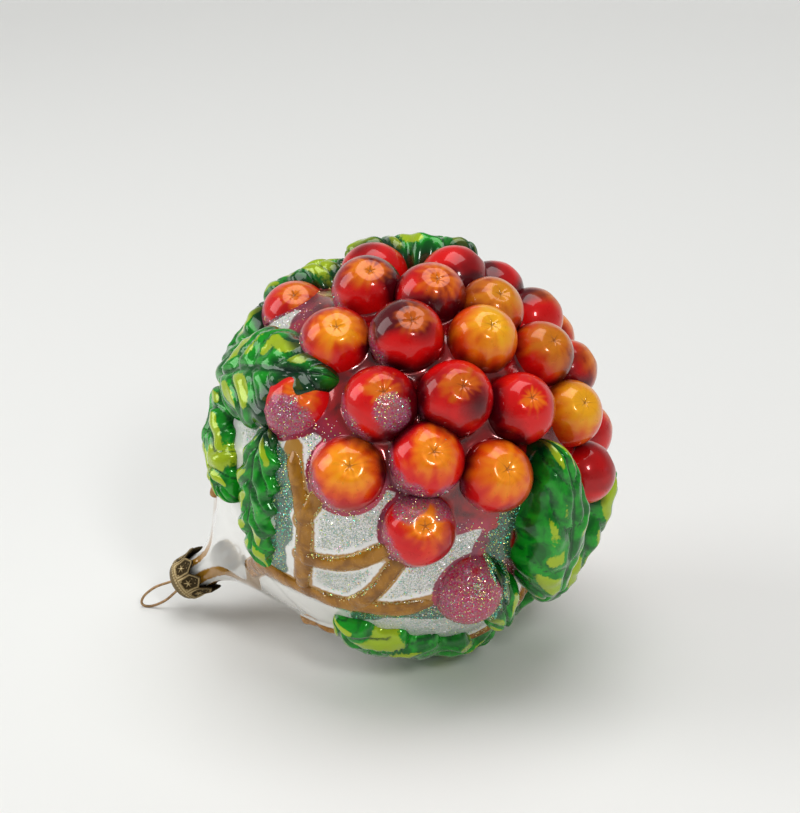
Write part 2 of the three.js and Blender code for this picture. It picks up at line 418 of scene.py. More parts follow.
def makeBerryPaint():
    material, tree, surface = startMaterial("berryLacquer", {
        "Metallic": 0.1, "Specular IOR Level": 0.1, "Coat Weight": 0.8, "Coat Roughness": 0.02,
        "Coat IOR": 1.42})
    brushed = useGroup(tree, brushedLacquer, Scale=110.0, Low=0.25, High=0.75)
    names = ("calyxAngle", "yellow", "patch", "brown", "creaseShadeAndBlotches", "glitter")
    angle, yellow, patch, brown, creaseShadeAndBlotches, glitterAmount = (readValue(tree, key) for key in names)
    uneasy = mathNode(tree, "SUBTRACT", brushed["Mask"], 0.5)
    # painted shade in the creases between berries, with uneven wine blotches, turns the red to wine
    deep = mathNode(tree, "ADD", creaseShadeAndBlotches, times(tree, uneasy, 0.35), clamp=True)
    red = blendColours(tree, deep, berryPaint["red"], berryPaint["wine"])
    strokes = times(tree, mathNode(tree, "SUBTRACT", readValue(tree, "stroke"), 0.5), 0.3)
    wavy = plus(tree, plus(tree, angle, strokes), times(tree, uneasy, 0.55))
    edge = rampMask(tree, wavy, times(tree, patch, 1.35), times(tree, patch, 0.35))
    core = rampMask(tree, wavy, times(tree, patch, 0.9), times(tree, patch, 0.2), "LINEAR")
    warm = blendColours(tree, times(tree, core, yellow), berryPaint["orange"], berryPaint["yellow"])
    warm = blendColours(tree, times(tree, brown, 0.55), warm, berryPaint["brown"])
    colour = blendColours(tree, edge, red, warm)
    colour = blendColours(tree, times(tree, readValue(tree, "streak"), 0.15), colour,
                          berryPaint["brown"])
    colour = blendColours(tree, readValue(tree, "calyx"), colour, berryPaint["calyx"])
    glitter = useGroup(tree, glitterDust, Scale=2700.0, Tint=berryPaint["mauve"], Amount=glitterAmount)
    colour = blendColours(tree, times(tree, glitterAmount, 0.7), colour, berryPaint["mauve"])
    colour = blendColours(tree, times(tree, glitter["Mask"], 0.6), colour, glitter["Color"])
    rough = plus(tree, times(tree, brushed["Fine"], 0.15), 0.22)
    feed(tree, surface, {"Base Color": colour, "Normal": glitter["Normal"],
                         "Roughness": plus(tree, rough, times(tree, glitter["Mask"], 0.2))})
    return material


# where coloured glitter lies: on sides that face the neck, in the ring of berries next to the stems,
# and in a few spots further in
glitterSpots = [(101, -68, 22), (121, -31, 7), (112, -23, 7), (119, 2, 6), (108, 70, 6), (90, 12, 9),
                (104, -157, 14), (101, 178, 9)]


def glitterOnCluster(points, normals):
    down = downOf(points)
    facing = smoothStep(normals[..., 2], 0.2, 0.75) * (1 - smoothStep(down, 112, 124))
    ways = unit(points)
    for spotDown, spotTurn, size in glitterSpots:
        away = np.degrees(np.arccos(np.clip(ways @ direction(spotDown, spotTurn), -1, 1)))
        facing = np.maximum(facing, 1 - smoothStep(away, size * 0.5, size))
    ragged = 0.5 + 0.5 * uneven(points, 5, 3)
    return smoothStep(facing + 0.35 * (ragged - 0.5), 0.3, 0.75)


# berries, each on a grid of angle from the calyx and turn round it: radius = size * (1 + uneven)
# - dimple * exp(-(angle / width)^2) + five arms and a low ring round the dimple. The calyxes of each half
# lean the way its half of the mould opens. The calyx paint is five thin lines
def makeBerries():
    count = len(berryTable)
    steps = np.linspace(0, 1, berryShape["rows"] + 2)[1:-1]
    angle = np.pi * steps ** 1.25
    turn = np.linspace(0, 2 * np.pi, berryShape["columns"], endpoint=False)
    angle, turn = np.meshgrid(angle, turn, indexing="ij")
    faces = (direction(110, 5), direction(110, 2 * lay["seamTurn"] - 5))
    parts = []
    for i in range(count):
        face = max(faces, key=lambda way: way @ berryWays[i])
        axis = unit(berryWays[i] + berryShape["towardsFace"] * face - [0, 0, berryShape["towardsEnd"]])
        side = unit(np.cross(axis, [0.3, 0.5, 0.8]))
        other = np.cross(axis, side)
        start = 2.4 * i
        arms = np.abs(np.cos(2.5 * (turn + start))) ** 9
        dip = np.exp(-(angle / berryShape["dimpleWidth"]) ** 2)
        ridge = np.exp(-((angle - 0.12) / 0.09) ** 2) * arms
        way = (np.cos(angle)[..., None] * axis + np.sin(angle)[..., None]
               * (np.cos(turn)[..., None] * side + np.sin(turn)[..., None] * other))
        size = berryRadii[i] * (1 + 0.012 * uneven(way * 8 + i * 9, 14, i))
        radius = (size - berryShape["dimple"] * dip + berryShape["star"] * ridge
                  + 0.12 * np.exp(-((angle - 0.42) / 0.12) ** 2))
        radius = radius - 0.3 * np.exp(-(angle / 0.05) ** 2)
        points = berryCentres[i] + radius[..., None] * way
        fromArm = np.abs(((turn + start) * 2.5 / np.pi + 0.5) % 1 - 0.5) * np.pi / 2.5
        line = np.exp(-(angle * np.sin(fromArm) / 0.013) ** 2) * np.exp(-(angle / 0.2) ** 4)
        calyx = np.clip(0.6 * line + np.exp(-(angle / 0.025) ** 2), 0, 0.75)
        spokes = np.cos(9 * turn + 3 * start + 2 * np.sin(3 * turn + i)) ** 8
        streak = spokes * smoothStep(angle, 0.14, 0.22) * (1 - smoothStep(angle, 0.3, 0.7))
        stroke = 0.5 + 0.22 * np.sin(5 * turn + 2 * np.sin(2 * turn + i)) + 0.22 * np.sin(13 * turn + i * 3)
        # painted shade: the red deepens to wine where a berry meets its neighbours
        crease = 1 - smoothStep(berryGaps(points)[..., 1], 0.4, 4.6)
        # darker wine in uneven blotches, more on the browner berries
        darkBlotches = smoothStep(uneven(way * 8 + 5 * i, 20, 400 + i), -0.3, 0.8)
        parts.append((points, {
            "calyxAngle": angle, "calyx": calyx, "streak": streak, "stroke": stroke,
            "yellow": berryTable[i, 3], "patch": berryTable[i, 4], "brown": berryTable[i, 5],
            "creaseShadeAndBlotches": np.clip(0.95 * crease + 0.85 * darkBlotches * (0.4 + berryTable[i, 5]), 0, 1),
            "glitter": glitterOnCluster(points, way)}))
    makePiece("berry_relief", parts, makeBerryPaint(), "glass_body")
    return parts


shellShape = {"rows": 150, "innerRows": 14, "columns": 440, "sink": 1.4, "blend": 1.3,
              "border": [(0, 110), (20, 110), (36, 106), (48, 119), (62, 107), (66, 103), (80, 108),
                         (92, 99), (105, 98), (118, 90), (145, 88), (155, 90), (166, 82), (175, 90),
                         (180, 96)]}


# radius of the shell in each direction: a ray from outside walks in by the blended distance to the
# bare glass and to balls a little smaller than the berries, which leaves a soft web in each crease
def shellRadius(ways):
    bare = glassRadius(downOf(ways))
    small = berryRadii - shellShape["sink"]
    reach = np.full(bare.shape, 60.0)
    near = (ways @ berryWays.T)
    for _ in range(16):
        across = reach[..., None] ** 2 - 2 * reach[..., None] * near * berryReach
        gaps = np.sqrt(across + berryReach ** 2) - small
        total = np.exp(-np.minimum(gaps, 30) / shellShape["blend"]).sum(-1)
        total = total + np.exp(-np.minimum(reach - bare, 30) / shellShape["blend"])
        reach = reach + shellShape["blend"] * np.log(total)
    return np.where(downOf(ways) < 60, bare, reach)


def makeShell():
    outerDowns = np.concatenate([np.linspace(179.3, body["shoulderDown"], shellShape["rows"]),
                                 neckDowns[::-1][1:]])
    turns = np.linspace(-180, 180, shellShape["columns"], endpoint=False)
    down, turn = np.meshgrid(outerDowns, turns, indexing="ij")
    ways = fromNeck(down, turn)
    radius = shellRadius(ways)
    beside = pathDistance(ways, stemPaths)
    band = 1 - smoothStep(pathDistance(ways, bandPaths) + 0.8 * uneven(ways * 50, 6, 9), -0.6, 0.8)
    raised = (1 - smoothStep(beside, -1.0, 2.6)) * smoothStep(down, 24, 36)
    radius = radius + 0.7 * raised * (1 - smoothStep(down, 100, 112))
    radius = radius + 0.12 * uneven(ways * 50, 16, 5) * smoothStep(down, 20, 60)
    outer = ways * radius[..., None]
    innerDowns = np.concatenate([[neckDowns[0]], np.linspace(4.5, 179, shellShape["innerRows"])])
    down2, turn2 = np.meshgrid(innerDowns, turns, indexing="ij")
    inner = fromNeck(down2, turn2) * (glassRadius(down2) - body["wall"] * 1.1)[..., None]
    neckInside = down2 < 8
    bore = (body["neckRadius"] - body["wall"]) / body["neckRadius"]
    inner[neckInside] = inner[neckInside] * np.array([bore, bore, 1])
    rings = np.concatenate([outer, inner])
    gaps = berryGaps(outer)
    border = np.interp(fromSeam(ways)[1], *np.array(shellShape["border"]).T)
    inside = fromSeam(ways)[0] - border + 1.5 * uneven(outer, 9, 21)
    painted = np.maximum(1 - smoothStep(gaps[..., 0], 0.4, 1.5), smoothStep(inside, -1.5, 1.5))
    window = smoothStep(beside, 0.6, 1.6) * smoothStep(down, 60, 66) * (1 - painted)
    window = window * (1 - smoothStep(down, 108, 118))
    rim = painted * (1 - smoothStep(inside, 2, 10))
    edgeGlitter = window * (0.12 + np.exp(-(gaps[..., 0] / 3) ** 2) + np.exp(-((beside - 1) / 1.2) ** 2))
    values = {"painted": painted, "sparkle": edgeGlitter, "teal": band, "rim": rim}
    values = {key: np.concatenate([value, np.zeros(down2.shape)]) for key, value in values.items()}
    values["stemGap"] = np.concatenate([beside, np.full(down2.shape, 9.0)])
    values["down"] = np.concatenate([down, down2])
    parts = [(rings, values)]
    makePiece("glass_shell", parts, makeShellPaint(), "glass_body")
    return parts


shellPaint = {
    "teal": (0.01, 0.3, 0.2, 1), "green": (0.001, 0.06, 0.035, 1),
    "pearl": (0.86, 0.85, 0.82, 1), "silver": (0.54, 0.58, 0.56, 1), "ochre": (0.42, 0.2, 0.02, 1),
    "red": (0.4, 0.002, 0.004, 1), "wine": (0.1, 0.0006, 0.003, 1),
}


def makeShellPaint():
    material, tree, surface = startMaterial("paintedGlass", {
        "Coat Weight": 1.0, "Coat Roughness": 0.04, "Coat IOR": 1.5})
    brushed = useGroup(tree, brushedLacquer, Scale=160.0, Low=0.35, High=0.65)
    painted, stemGap, down = (readValue(tree, key) for key in ("painted", "stemGap", "down"))
    ragged = times(tree, mathNode(tree, "SUBTRACT", brushed["Fine"], 0.5), 3.0)
    redMask = rampMask(tree, plus(tree, painted, times(tree, ragged, 0.12)), 0.3, 0.7)
    window = times(tree, rampMask(tree, plus(tree, stemGap, ragged), 0.9, 1.7),
                      rampMask(tree, down, 60.0, 66.0))
    window = times(tree, window, mathNode(tree, "SUBTRACT", 1.0, redMask))
    glitter = useGroup(tree, glitterDust, Scale=4200.0, Tint=shellPaint["silver"], Amount=window)
    colour = blendColours(tree, glitter["Mask"], shellPaint["pearl"], glitter["Color"])
    stemMask = rampMask(tree, plus(tree, stemGap, times(tree, ragged, 0.25)), 0.5, 0.0)
    colour = blendColours(tree, stemMask, colour, shellPaint["ochre"])
    wine = blendColours(tree, brushed["Mask"], shellPaint["wine"], shellPaint["red"])
    wine = blendColours(tree, times(tree, readValue(tree, "rim"), 0.35), wine, berryPaint["mauve"])
    colour = blendColours(tree, redMask, colour, wine)
    teal = readValue(tree, "teal")
    tealGlitter = useGroup(tree, glitterDust, Scale=3000.0, Tint=shellPaint["teal"], Amount=teal)
    bandMask = rampMask(tree, teal, 0.3, 0.7)
    colour = blendColours(tree, times(tree, bandMask, 0.9), colour, shellPaint["green"])
    colour = blendColours(tree, times(tree, tealGlitter["Mask"], 0.25), colour,
                          tealGlitter["Color"])
    feed(tree, surface, {"Base Color": colour, "Normal": glitter["Normal"],
                         "Metallic": plus(tree, times(tree, redMask, 0.2), 0.1),
                         "Roughness": plus(tree, times(tree, glitter["Mask"], 0.3), 0.16)})
    return material


stemShape = {"from": 29, "rise": 0.4, "height": 1.3, "rows": 90, "columns": 22}
stemPaint = {"ochre": (0.4, 0.17, 0.006, 1), "brown": (0.12, 0.035, 0.003, 1), "gold": (0.85, 0.6, 0.18, 1)}


# a stem: an oval section carried along a path on the glass, with its width waving a little and both
# ends drawn to a point
def makeStems():
    parts = []
    around = np.linspace(0, 2 * np.pi, stemShape["columns"], endpoint=False)
    for k, (path, halfWidth) in enumerate(stemPaths):
        path = path[downOf(path) > stemShape["from"]]
        t = np.linspace(0, len(path) - 1, stemShape["rows"])
        ways = unit(np.stack([np.interp(t, np.arange(len(path)), path[:, a]) for a in range(3)], -1))
        along = unit(np.gradient(ways, axis=0))
        across = np.cross(ways, along)
        base = ways * (glassRadius(downOf(ways)) + stemShape["rise"])[:, None]
        share = np.linspace(0, 1, stemShape["rows"])
        taper = np.sqrt(np.clip(np.minimum(share, 1 - share) * 14, 0.02, 1))
        wide = (halfWidth - 0.2) * taper * (1 + 0.14 * uneven(base, 13, 40 + k))
        high = stemShape["height"] * taper * (1 + 0.15 * uneven(base, 9, 60 + k))
        rings = carriedSection(base, across, ways, wide, high, around)
        rings = rings + ways[:, None, :] * (0.1 * uneven(rings, 4, 80 + k))[..., None]
        side = np.broadcast_to(np.abs(np.cos(around)), rings.shape[:2])
        edge = smoothStep(side, 0.7, 1) * (np.sin(around) > -0.1) * smoothStep(downOf(rings), 58, 68)
        parts.append((rings, {"side": side, "down": downOf(rings), "sparkle": edge}))
    makePiece("stem_relief", parts, makeStemPaint(), "glass_body")
    return parts


def makeStemPaint():
    material, tree, surface = startMaterial("ochreEnamel", {
        "Metallic": 0.1, "Specular IOR Level": 0.2, "Coat Weight": 0.6, "Coat Roughness": 0.06})
    brushed = useGroup(tree, brushedLacquer, Scale=260.0, Low=0.35, High=0.7)
    colour = blendColours(tree, brushed["Mask"], stemPaint["ochre"], stemPaint["brown"])
    colour = blendColours(tree, 0.35, colour, stemPaint["ochre"])
    side = plus(tree, readValue(tree, "side"), times(tree, brushed["Fine"], 0.3))
    amount = times(tree, rampMask(tree, side, 1.0, 1.2),
                      rampMask(tree, readValue(tree, "down"), 56.0, 64.0))
    glitter = useGroup(tree, glitterDust, Scale=2400.0, Tint=stemPaint["gold"], Amount=amount)
    feed(tree, surface, {"Base Color": blendColours(tree, glitter["Mask"], colour, glitter["Color"]),
                         "Normal": glitter["Normal"],
                         "Roughness": plus(tree, times(tree, brushed["Fine"], 0.2), 0.15)})
    return material


# base and tip as down and turn, width and height in millimetres, pairs of side veins, margin waves
leaves = [
    ((65, 38), (106, 22), 27, 6.5, 5, 0.05), ((82, 15), (54, -24), 14, 3.6, 6, 0.16),
    ((61, 44), (55, 1), 15, 5.6, 5, 0.1), ((52, 54), (80, 66), 16, 5.8, 4, 0.1),
    ((70, 76), (103, 82), 13, 8, 5, 0.14), ((93, 88), (134, 101), 15, 13.2, 5, 0.16),
    ((109, -96), (153, -43), 21, 11.6, 4, 0.06), ((98, -109), (143, -133), 18, 10.2, 4, 0.12),
    ((63, -49), (86, -103), 20, 5, 5, 0.16), ((96, -87), (116, -61), 12, 7.5, 3, 0.1),
    ((60, -171), (72, -110), 20, 4.6, 6, 0.16), ((63, 130), (106, 147), 27, 6, 5, 0.05),
    ((54, 96), (80, 104), 16, 4.2, 4, 0.1), ((60, 122), (54, 160), 14, 3.4, 5, 0.1),
    ((82, 150), (57, -174), 14, 3.6, 6, 0.16), ((84, -134), (118, -140), 13, 7, 4, 0.1),
    ((76, -112), (104, -122), 13, 5, 4, 0.1),
]
leafShape = {"sparkling": (8, 9, 10, 15, 16), "rows": 72, "topColumns": 52, "underColumns": 8, "under": 2.2}
restBump = {"down": 66, "off": 12, "radius": 12.0, "centreRadius": 45.69, "rows": 40, "columns": 64}


# a bump that the ornament rests on: a ball with shallow grooves that fade at its lowest side
def restBumps():
    parts = []
    angle = np.linspace(0, np.pi, restBump["rows"] + 2)[1:-1]
    turn = np.linspace(0, 2 * np.pi, restBump["columns"], endpoint=False)
    angle, turn = np.meshgrid(angle, turn, indexing="ij")
    way = np.stack([np.sin(angle) * np.cos(turn), np.sin(angle) * np.sin(turn), np.cos(angle)], -1)
    for side in (-1, 1):
        axis = fromNeck(restBump["down"], 180 + side * restBump["off"])
        middle = axis * restBump["centreRadius"]
        tip = fromNeck(90 - lay["tilt"], 180)
        high = smoothStep(np.arccos(np.clip(way @ tip, -1, 1)), 0.15, 0.6)
        groove = np.abs(np.sin(6 * np.arctan2(way @ np.cross(axis, tip), way @ tip))) ** 6
        radius = restBump["radius"] - high * (0.5 * groove + 0.25 + 0.25 * uneven(way * 12, 7, 300))
        gap = np.zeros(angle.shape)
        fresh = 0.3 + 0.6 * uneven(way * 12, 12, 310 + side)
        parts.append((middle + way * radius[..., None], {
            "vein": groove * high, "fresh": fresh, "shadow": gap, "glitter": gap}))
    return parts


# a leaf: a puffed pad over an arc on the glass. Half width = width / 2 * (1 - u^2)^0.6, widest near the
# base. Height = height * (1 - |v|^3)^0.5 * (1 - u^8)^0.5, less a groove along the middle vein and deep
# slanting grooves for the side veins, so the parts between stand as puffed lobes. u runs from base to tip
# and v across. The paint is fresh on the lobes, in uneven patches
def makeLeaves():
    parts = []
    rows = leafShape["rows"]
    u = np.sin(np.linspace(-1, 1, rows + 2)[1:-1] * np.pi / 2)
    v = np.concatenate([np.sin(np.linspace(-1, 1, leafShape["topColumns"]) * np.pi / 2 * 0.98),
                        np.linspace(1, -1, leafShape["underColumns"] + 2)[1:-1]])
    under = np.concatenate([np.zeros(leafShape["topColumns"]), np.ones(leafShape["underColumns"])])
    u, v = np.meshgrid(u, v, indexing="ij")
    for k, (base, tip, width, height, veins, wave) in enumerate(leaves):
        start, end = direction(*base), direction(*tip)
        middle = unit(start + end)
        along = unit(end - start)
        across = np.cross(along, middle)
        reach = np.arccos(start @ end) / 2
        outline = (1 - u ** 2) ** 0.6 * (1 - 0.22 * u) * (1 + wave * np.sin(veins * 3.3 * u + k))
        outline = np.maximum(outline, 0.02)
        bend = 0.12 * np.sin(2.2 * u + k)
        acrossReach = width / 2 * (v * outline + bend) / 50
        ways = unit(middle + along * np.tan(u * reach)[..., None] + across * np.tan(acrossReach)[..., None])
        slant = (u + 1) / 2 * veins - 1.1 * np.abs(v)
        slant = slant + 0.3 * uneven(ways * 50, 14, 90 + k)
        sideVein = np.exp(-(np.sin(np.pi * slant) / 0.38) ** 2) * smoothStep(np.abs(v), 0.03, 0.15)
        middleVein = np.exp(-(v / 0.085) ** 2)
        vein = np.maximum(sideVein * 0.8, middleVein)
        dome = (1 - np.abs(v) ** 3) ** 0.5 * (1 - u ** 8) ** 0.5
        spread = ways * 50
        lumps = (0.5 * uneven(spread, 9, 100 + k) + 0.2 * uneven(spread, 4, 130 + k)) * dome
        grooves = dome * (1.15 * sideVein + 1.25 * middleVein)
        rise = height * dome + lumps - grooves
        rise = np.where(under[None, :] > 0, -leafShape["under"], rise - 0.3)
        points = ways * (glassRadius(downOf(ways)) + rise)[..., None]
        gap = berryGaps(points)[..., 0]
        lobe = np.sin(np.pi * slant) ** 2 * smoothStep(np.abs(v), 0.08, 0.3)
        lobe = lobe * (1 - smoothStep(np.abs(v), 0.6, 0.9))
        fresh = smoothStep(lobe + 0.5 * uneven(spread + 7 * k, 18, 160 + k), 0.2, 0.95)
        shadow = 1 - smoothStep(gap + 1.0 * uneven(spread, 7, 190 + k), 0.3, 4.6)
        sparkle = smoothStep(shadow + 0.4 * uneven(spread, 6, 220 + k), 0.85, 1.15)
        sparkle = sparkle * (k in leafShape["sparkling"])
        parts.append((points, {"vein": vein, "fresh": fresh, "shadow": shadow, "glitter": sparkle}))
    parts += restBumps()
    makePiece("leaf_relief", parts, makeLeafPaint(), "glass_body")
    return parts


leafPaint = {
    "green": (0.001, 0.13, 0.01, 1), "bright": (0.006, 0.34, 0.012, 1), "fresh": (0.42, 0.55, 0.01, 1),
    "vein": (0.0, 0.045, 0.008, 1), "dark": (0.0, 0.012, 0.006, 1), "teal": (0.03, 0.4, 0.28, 1),
}


def makeLeafPaint():
    material, tree, surface = startMaterial("greenEnamel", {
        "Metallic": 0.15, "Specular IOR Level": 0.2, "Coat Weight": 0.8, "Coat Roughness": 0.02,
        "Coat IOR": 1.42})
    brushed = useGroup(tree, brushedLacquer, Scale=240.0, Low=0.35, High=0.65)
    vein, fresh, shadow, amount = (readValue(tree, key) for key in ("vein", "fresh", "shadow", "glitter"))
    colour = blendColours(tree, brushed["Mask"], leafPaint["green"], leafPaint["bright"])
    ragged = times(tree, mathNode(tree, "SUBTRACT", brushed["Fine"], 0.5), 1.2)
    freshMask = rampMask(tree, plus(tree, fresh, times(tree, ragged, 0.6)), 0.3, 0.6)
    colour = blendColours(tree, times(tree, freshMask, 0.85), colour, leafPaint["fresh"])
    veinMask = rampMask(tree, plus(tree, vein, times(tree, ragged, 0.5)), 0.45, 0.8)
    colour = blendColours(tree, times(tree, veinMask, 0.75), colour, leafPaint["vein"])
    colour = blendColours(tree, times(tree, shadow, 0.9), colour, leafPaint["dark"])
    glitter = useGroup(tree, glitterDust, Scale=2500.0, Tint=leafPaint["teal"], Amount=amount)
    feed(tree, surface, {"Base Color": blendColours(tree, glitter["Mask"], colour, glitter["Color"]),
                         "Normal": glitter["Normal"],
                         "Roughness": plus(tree, times(tree, brushed["Fine"], 0.15), 0.12)})
    return material


flakeShape = {"size": 0.19, "thickness": 0.25, "lift": 0.06}
flakeColours = np.array([
    (0.95, 0.95, 0.98), (0.95, 0.7, 0.25), (0.9, 0.5, 0.7), (0.08, 0.75, 0.5), (0.7, 0.85, 0.2),
    (0.95, 0.4, 0.3),
])


# places for glitter flakes: points picked over the grids in proportion to weight, moved at random inside
# their own cell
def scatterOver(rng, parts, weightName, count):
    places, outs = [], []
    sizes = np.array([values[weightName].sum() for points, values in parts])
    for (points, values), share in zip(parts, sizes / sizes.sum()):
        here = int(count * share)
        weight = values[weightName][:-1].ravel()
        if here == 0 or weight.sum() == 0:
            continue
        cell = rng.choice(len(weight), here, p=weight / weight.sum())
        row, column = np.divmod(cell, points.shape[1])
        nextColumn = (column + 1) % points.shape[1]
        a, b, c = points[row, column], points[row + 1, column], points[row, nextColumn]
        places.append(a + (b - a) * rng.random((here, 1)) + (c - a) * rng.random((here, 1)))
        out = np.cross(b - a, c - a)
        away = a - points.reshape(-1, 3).mean(0)
        outs.append(unit(out * np.sign((out * away).sum(-1, keepdims=True)) + 1e-9))
    return np.concatenate(places), np.concatenate(outs)


# glitter flakes: small flat octahedra that lie on the paint, each a little tilted and with its own colour
def makeFlakes(groups):
    rng = np.random.default_rng(77)
    places, outs, tints = [], [], []
    for parts, weightName, count, mix in groups:
        place, out = scatterOver(rng, parts, weightName, count)
        places.append(place)
        outs.append(out)
        tints.append(flakeColours[rng.choice(len(flakeColours), len(place), p=np.array(mix) / sum(mix))])
    place, tint = np.concatenate(places), np.concatenate(tints)
    out = unit(np.concatenate(outs) + rng.normal(size=place.shape) * 0.35)
    side = unit(np.cross(out, rng.normal(size=place.shape)))
    other = np.cross(out, side)
    size = flakeShape["size"] * rng.uniform(0.6, 1.3, (len(place), 1))
    middle = place + np.concatenate(outs) * flakeShape["lift"]
    thick = size * flakeShape["thickness"]
    corners = np.stack([middle + side * size, middle + other * size, middle - side * size,
                        middle - other * size, middle + out * thick, middle - out * thick], 1)
    shape = np.array([(0, 1, 4), (1, 2, 4), (2, 3, 4), (3, 0, 4),
                      (1, 0, 5), (2, 1, 5), (3, 2, 5), (0, 3, 5)])
    faces = (shape[None] + 6 * np.arange(len(place))[:, None, None]).reshape(-1, 3)
    mesh = bpy.data.meshes.new("glitter_flakes")
    mesh.from_pydata(lieDown(corners.reshape(-1, 3)), [], faces.tolist())
    attribute = mesh.attributes.new("tint", "FLOAT_COLOR", "POINT")
    colours = np.concatenate([np.repeat(tint, 6, 0), np.ones((len(place) * 6, 1))], 1)
    attribute.data.foreach_set("color", colours.astype(np.float32).ravel())
    finishPiece("glitter_flakes", mesh, makeFlakePaint(), "glass_body")
    mesh.shade_flat()


def makeFlakePaint():
    material, tree, surface = startMaterial("glitterFlake", {"Metallic": 1.0})
    tint = addNode(tree, "ShaderNodeAttribute", attribute_name="tint").outputs["Color"]
    fine = useGroup(tree, brushedLacquer, Scale=700.0, Low=0.3, High=0.7)
    feed(tree, surface, {
        "Base Color": blendColours(tree, times(tree, fine["Mask"], 0.2), tint, (1, 1, 1, 1)),
        "Roughness": plus(tree, times(tree, fine["Fine"], 0.1), 0.15)})
    return material


capShape = {
    "shift": 5.5, "petalTip": 66.8, "notch": 69.4, "petals": 8, "wall": 0.45, "rows": 110, "columns": 384,
}
capPaint = {"dark": (0.06, 0.042, 0.02, 1), "brass": (0.34, 0.25, 0.12, 1), "bright": (0.6, 0.48, 0.27, 1)}


# the cap: a cup whose rim is cut in pointed petals. Each petal is outlined by a roped ridge and holds a
# six-rayed star and dots on a sunk ground. Radius = profile + relief, on a grid of turn and height.
def makeCap():
    columns = capShape["columns"]
    turn = np.linspace(0, 2 * np.pi, columns, endpoint=False)
    pitch = 2 * np.pi / capShape["petals"]
    fromMiddle = (turn / pitch + 0.5) % 1 - 0.5
    arc = fromMiddle * pitch * 6.4
    halfPetal = pitch * 6.4 / 2
    rim = capShape["petalTip"] + (capShape["notch"] - capShape["petalTip"]) * np.abs(fromMiddle * 2) ** 1.15
    outline = np.array([(0.05, 78.0), (2.2, 77.85), (3.9, 77.35), (5.2, 76.4), (5.9, 75.1), (6.1, 73.6),
                        (6.1, 71.6), (6.15, 70.4), (6.3, 69.0), (6.55, 67.8), (6.8, 66.8)])
    lengths = np.concatenate([[0], np.cumsum(np.hypot(*np.diff(outline, axis=0).T))])
    s = np.linspace(0, lengths[-1], capShape["rows"])
    r = np.interp(s, lengths, outline[:, 0])
    z = np.interp(s, lengths, outline[:, 1])
    kernel = np.ones(7) / 7
    r[3:-3], z[3:-3] = np.convolve(r, kernel, "valid"), np.convolve(z, kernel, "valid")
    low = z[:, None] * np.ones(columns)
    skirt = smoothStep(low, 73.5, 70)
    low = np.where(low < 72, 72 - (72 - low) * (72 - rim) / (72 - capShape["petalTip"]), low)
    radius = np.repeat(r[:, None], columns, 1)
    x = np.broadcast_to(arc, low.shape)
    edge = np.minimum((low - rim) * 0.75, 74.2 - low)
    border = np.minimum(edge, (halfPetal - np.abs(x)))
    rope = np.exp(-((border - 0.42) / 0.26) ** 2) * (0.75 + 0.25 * np.sin(13 * (low + np.abs(x))))
    sunk = smoothStep(border, 0.7, 1.0)
    starHeight = low - 71.4
    distance = np.hypot(x, starHeight)
    rays = np.cos(3 * np.arctan2(starHeight, x)) ** 2
    star = np.exp(-(distance / (0.45 + 0.95 * rays ** 3)) ** 4)
    dots = sum(np.exp(-(((x - dx) ** 2 + (low - dz) ** 2) / 0.06))
               for dx, dz in ((0, 68.6), (-0.8, 69.5), (0.8, 69.5), (-1.5, 73.1), (1.5, 73.1), (0, 73.6)))
    shown = smoothStep(low, 74.8, 74.2)
    relief = shown * (0.32 * rope - 0.12 * sunk + 0.38 * np.maximum(star, dots) * sunk)
    band = np.exp(-((low - 74.6) / 0.3) ** 2) * 0.16 * (1 + 0.5 * np.sin(48 * turn))
    radius = radius + relief + band + 0.03 * uneven(np.stack([x * 3, low, low * 0 + 1], -1), 2.5, 7)
    outer = np.stack([radius * np.cos(turn), radius * np.sin(turn), low], -1)
    innerRadius = np.maximum(np.repeat(r[:, None], columns, 1) - capShape["wall"], 0.04)[::-1]
    innerLow = np.where(low > 73, low - capShape["wall"], low)[::-1]
    inner = np.stack([innerRadius * np.cos(turn), innerRadius * np.sin(turn), innerLow], -1)[::4]
    rings = np.concatenate([outer, inner]) + np.array([0, 0, capShape["shift"]])
    high = np.clip(relief * 2.6 + band * 3 + 0.25 * (1 - skirt), 0, 1)
    values = {"raised": np.concatenate([high, np.zeros(inner.shape[:2])])}
    makePiece("stamped_cap", [(rings, values)], makeCapPaint(), "cap")


def makeCapPaint():
    material, tree, surface = startMaterial("antiqueBrass", {"Metallic": 1.0})
    brushed = useGroup(tree, brushedLacquer, Scale=500.0, Low=0.3, High=0.7)
    raised = plus(tree, readValue(tree, "raised"),
                      times(tree, mathNode(tree, "SUBTRACT", brushed["Fine"], 0.5), 0.4))
    colour = blendColours(tree, rampMask(tree, raised, 0.0, 0.5), capPaint["dark"], capPaint["brass"])
    colour = blendColours(tree, rampMask(tree, raised, 0.5, 1.0), colour, capPaint["bright"])
    rough = mathNode(tree, "SUBTRACT", 0.62, times(tree, raised, 0.3))
    feed(tree, surface, {"Base Color": colour, "Roughness": rough})
    return material


wireShape = {"radius": 0.375, "rows": 260, "columns": 14}
wireHalf = [(3.2, 66), (2.6, 71.5), (1.9, 77.5), (1.6, 82.5), (1.6, 84.7), (2.4, 89.4), (2.1, 93.4),
            (1.2, 95.7)]


